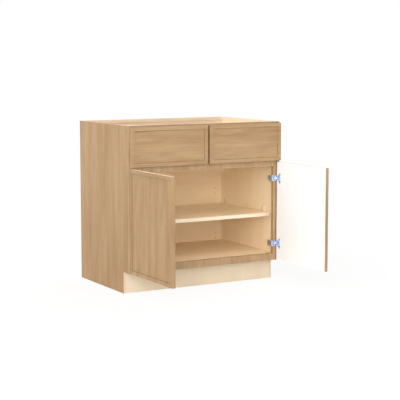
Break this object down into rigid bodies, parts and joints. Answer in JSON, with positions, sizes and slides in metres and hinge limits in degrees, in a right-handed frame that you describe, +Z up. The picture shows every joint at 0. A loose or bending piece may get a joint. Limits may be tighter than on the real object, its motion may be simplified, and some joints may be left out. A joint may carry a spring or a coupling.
{
  "type": "kitchen base cabinet",
  "caption": "Framed kitchen base cabinet with drawers above hinged doors, an adjustable shelf, a recessed toe kick and an open top for a worktop.",
  "frame": {"origin": "on the floor at the middle of the back face", "axes": "+X to the right as seen from the front, +Y to the wall behind, +Z up"},
  "size_m": [0.919, 1.0654, 0.8763],
  "materials": {
    "oak_foil": "textured oak-grain foil on the door and drawer fronts, satin",
    "oak_frame": "face frame members in the same oak grain, satin",
    "oak_side": "plywood side, oak grain outside and maple veneer inside, satin",
    "maple_plywood": "maple-veneered plywood with clear satin coat",
    "toe_board": "unfinished maple plywood, matt",
    "shelf_board": "maple-veneered plywood with an edge band, satin",
    "drawer_wood": "solid maple drawer box, clear satin coat",
    "hinge_nickel": "nickel-plated pressed steel, satin",
    "screw_steel": "zinc-plated steel screws",
    "slide_zinc": "zinc-plated rolled steel",
    "brace_plastic": "moulded plastic, matt",
    "clip_plastic": "moulded plastic, satin",
    "bumper": "clear soft polyurethane"
  },
  "bodies": {
    "carcass": {"right_side_panel": "oak_side", "left_side_panel": "oak_side", "floor_panel": "maple_plywood", "back_panel": "maple_plywood", "toe_kick_board": "toe_board", "rear_top_rail": "maple_plywood", "right_corner_brace": "brace_plastic", "left_corner_brace": "brace_plastic", "corner_brace_screws": "screw_steel", "right_frame_stile": "oak_frame", "left_frame_stile": "oak_frame", "frame_top_rail": "oak_frame", "frame_middle_rail": "oak_frame", "frame_bottom_rail": "oak_frame", "frame_centre_stile": "oak_frame", "shelf": "shelf_board", "shelf_clips": "clip_plastic", "right_hinge_arms": "hinge_nickel", "left_hinge_arms": "hinge_nickel", "right_hinge_plates": "hinge_nickel", "left_hinge_plates": "hinge_nickel", "hinge_arm_screws": "screw_steel", "right_slide_cabinet_members": "slide_zinc", "left_slide_cabinet_members": "slide_zinc", "slide_screws": "screw_steel", "right_slide_rear_brackets": "slide_zinc", "left_slide_rear_brackets": "slide_zinc", "slide_bracket_screws": "screw_steel"},
    "right_door": {"right_door": "oak_foil", "right_hinge_cups": "hinge_nickel", "right_hinge_pins": "hinge_nickel", "right_hinge_cup_screws": "screw_steel", "right_door_bumpers": "bumper"},
    "right_drawer": {"right_drawer_front": "oak_foil", "right_drawer_outer_side": "drawer_wood", "right_drawer_inner_side": "drawer_wood", "right_drawer_box_front": "drawer_wood", "right_drawer_box_back": "drawer_wood", "right_drawer_bottom": "maple_plywood", "right_drawer_front_screws": "screw_steel", "right_drawer_bumpers": "bumper", "right_slide_drawer_members": "slide_zinc"},
    "right_slide_middle": {"right_slide_middle_members": "slide_zinc"},
    "left_door": {"left_door": "oak_foil", "left_hinge_cups": "hinge_nickel", "left_hinge_pins": "hinge_nickel", "left_hinge_cup_screws": "screw_steel", "left_door_bumpers": "bumper"},
    "left_drawer": {"left_drawer_front": "oak_foil", "left_drawer_outer_side": "drawer_wood", "left_drawer_inner_side": "drawer_wood", "left_drawer_box_front": "drawer_wood", "left_drawer_box_back": "drawer_wood", "left_drawer_bottom": "maple_plywood", "left_drawer_front_screws": "screw_steel", "left_drawer_bumpers": "bumper", "left_slide_drawer_members": "slide_zinc"},
    "left_slide_middle": {"left_slide_middle_members": "slide_zinc"}
  },
  "joints": [
    {"name": "right_door_hinge", "type": "hinge", "parent": "carcass", "child": "right_door", "pos_m": [0.4474, -0.6196, 0.3875], "axis": [0, 0, 1], "range_deg": [-90, 15]},
    {"name": "left_door_hinge", "type": "hinge", "parent": "carcass", "child": "left_door", "pos_m": [-0.4474, -0.6196, 0.3875], "axis": [0, 0, -1], "range_deg": [-90, 15]},
    {"name": "right_drawer_slide", "type": "slide", "parent": "carcass", "child": "right_drawer", "axis": [0, -1, 0], "range_m": [0, 0.508]},
    {"name": "right_slide_middle_travel", "type": "slide", "parent": "carcass", "child": "right_slide_middle", "axis": [0, -1, 0], "range_m": [0, 0.254]},
    {"name": "left_drawer_slide", "type": "slide", "parent": "carcass", "child": "left_drawer", "axis": [0, -1, 0], "range_m": [0, 0.508]},
    {"name": "left_slide_middle_travel", "type": "slide", "parent": "carcass", "child": "left_slide_middle", "axis": [0, -1, 0], "range_m": [0, 0.254]}
  ],
  "couplings": [
    {"joint": "right_slide_middle_travel", "follows": "right_drawer_slide", "ratio": 0.5},
    {"joint": "left_slide_middle_travel", "follows": "left_drawer_slide", "ratio": 0.5}
  ]
}
